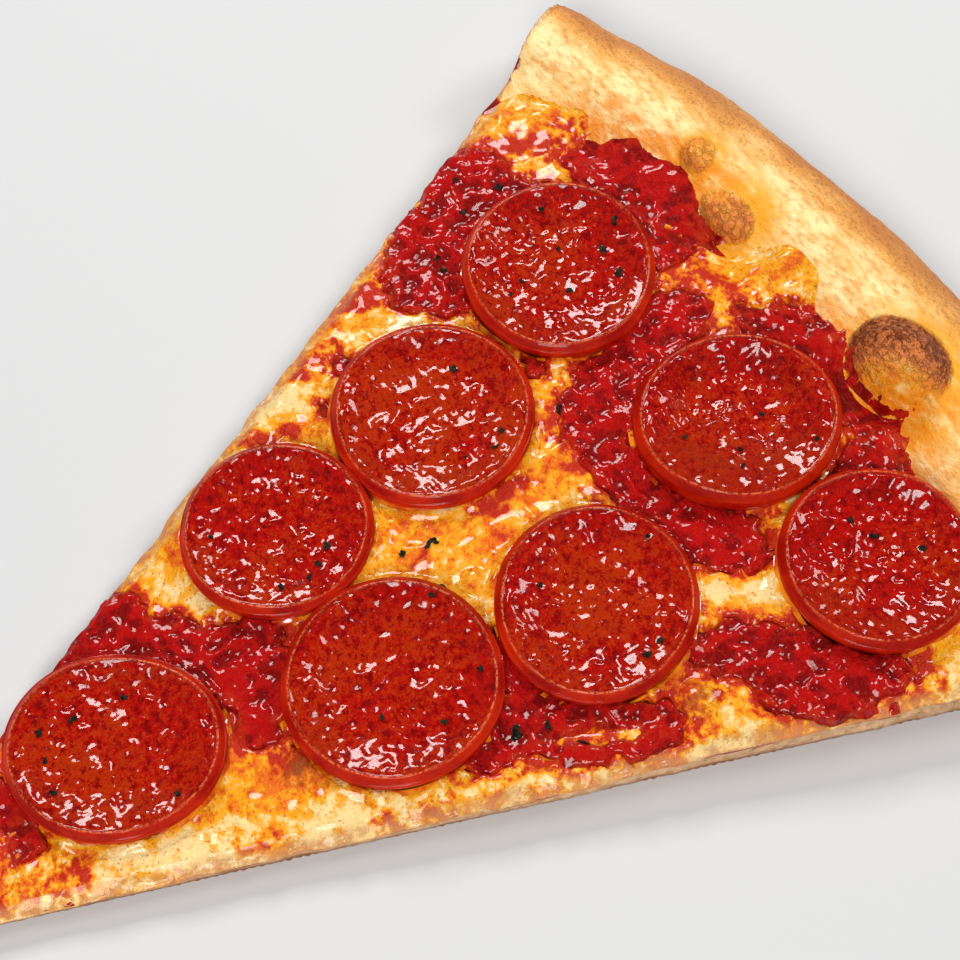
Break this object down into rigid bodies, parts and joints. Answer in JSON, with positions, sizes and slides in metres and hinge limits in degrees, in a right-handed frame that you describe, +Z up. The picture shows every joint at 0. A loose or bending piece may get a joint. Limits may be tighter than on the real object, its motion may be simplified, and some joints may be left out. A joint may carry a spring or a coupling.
{
  "type": "pepperoni pizza slice",
  "caption": "Wedge slice of a large thin pepperoni pizza with a raised browned crust, tomato sauce, melted cheese and cupped pepperoni, lying flat.",
  "frame": {"origin": "centre of the bounding box in plan, on the flat underside the slice rests on", "axes": "+Y from the tip toward the raised crust along the middle of the slice, +Z up out of the toppings, +X to the right seen from the tip"},
  "size_m": [0.1752, 0.229, 0.0236],
  "materials": {
    "dough": "baked dough, matt, pale and golden, browned at the rim and on the blisters",
    "tomato_sauce": "wet crushed tomato",
    "cheese": "melted cheese, oily satin",
    "pepperoni_1": "cured meat, oily gloss",
    "pepperoni_2": "cured meat, oily gloss",
    "pepperoni_3": "cured meat, oily gloss",
    "pepperoni_4": "cured meat, oily gloss",
    "pepperoni_5": "cured meat, oily gloss",
    "pepperoni_6": "cured meat, oily gloss",
    "pepperoni_7": "cured meat, oily gloss",
    "pepperoni_8": "cured meat, oily gloss"
  },
  "bodies": {
    "root": {"dough": "dough", "tomato_sauce": "tomato_sauce", "cheese": "cheese", "pepperoni_1": "pepperoni_1", "pepperoni_2": "pepperoni_2", "pepperoni_3": "pepperoni_3", "pepperoni_4": "pepperoni_4", "pepperoni_5": "pepperoni_5", "pepperoni_6": "pepperoni_6", "pepperoni_7": "pepperoni_7", "pepperoni_8": "pepperoni_8"}
  },
  "joints": []
}
